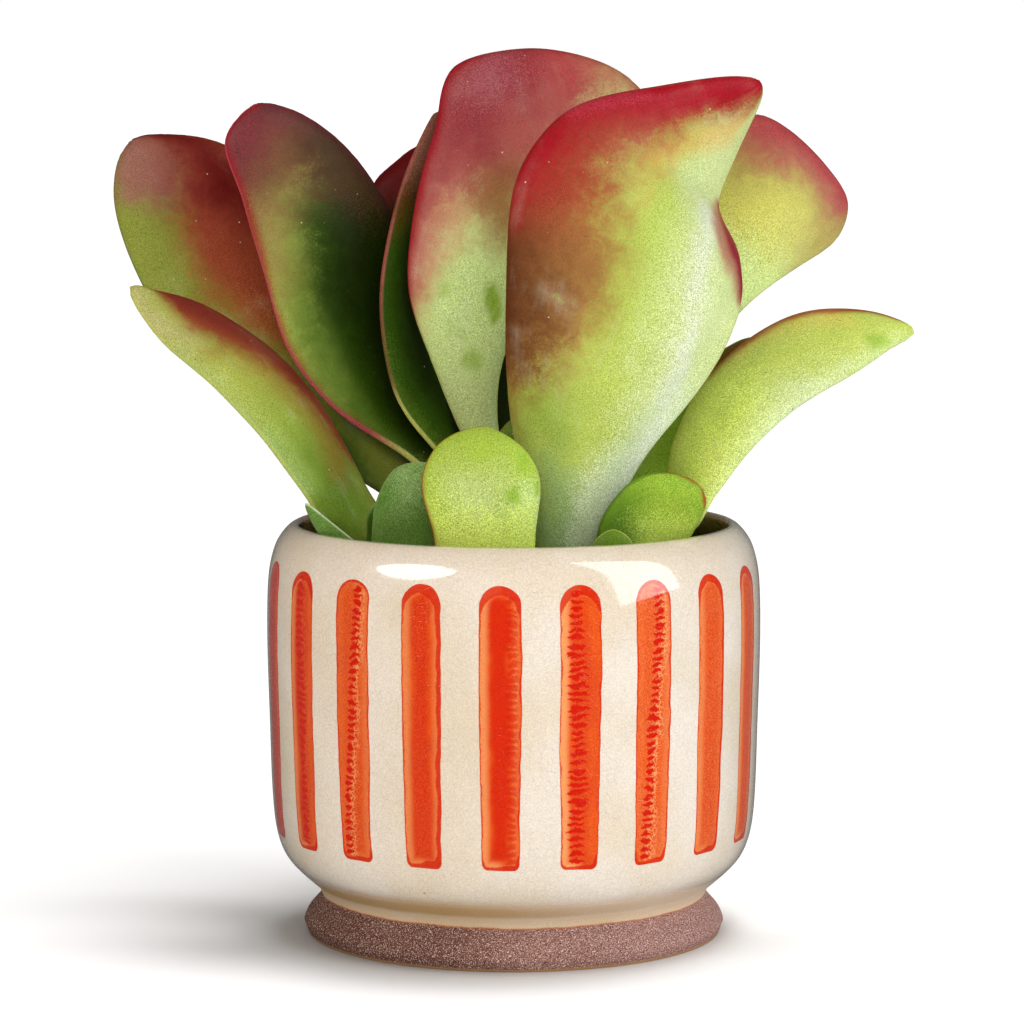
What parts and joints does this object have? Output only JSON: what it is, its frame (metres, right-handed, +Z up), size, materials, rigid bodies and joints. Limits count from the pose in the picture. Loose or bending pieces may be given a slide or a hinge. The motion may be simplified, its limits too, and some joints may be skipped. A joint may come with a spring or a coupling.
{
  "type": "potted succulent",
  "caption": "Succulent rosette of thick paddle-shaped leaves in a footed, striped ceramic pot.",
  "frame": {"origin": "centre of the pot's flat underside, on the surface that the pot stands on", "axes": "+Z up, +X to the right and -Y towards the viewer as the plant is seen from its front"},
  "size_m": [0.2304, 0.1667, 0.2496],
  "materials": {
    "glazed_ceramic": "glossy cream glaze with orange stripes and a bare brown clay foot",
    "potting_mix": "dark crumbly peat mix",
    "stem": "matte fleshy stem",
    "leaf": "satin green leaf with a powdery bloom and red margins"
  },
  "bodies": {
    "root": {"pot": "glazed_ceramic", "soil": "potting_mix", "stem": "stem", "leaf_front_tall": "leaf", "leaf_back_tall": "leaf", "leaf_left_dark": "leaf", "leaf_left_back": "leaf", "leaf_left_low": "leaf", "leaf_right_low": "leaf", "leaf_right_back": "leaf", "leaf_right_dark": "leaf", "leaf_narrow": "leaf", "leaf_far_back": "leaf", "leaf_small_front": "leaf", "leaf_small_left": "leaf", "leaf_small_hidden": "leaf", "leaf_small_right": "leaf", "leaf_tiny_rim": "leaf", "leaf_small_folded": "leaf", "leaf_rear_right": "leaf", "leaf_rear_left": "leaf", "leaf_rear_small": "leaf", "leaf_rear_small_right": "leaf", "leaf_young_front": "leaf", "leaf_young_back": "leaf"}
  },
  "joints": []
}
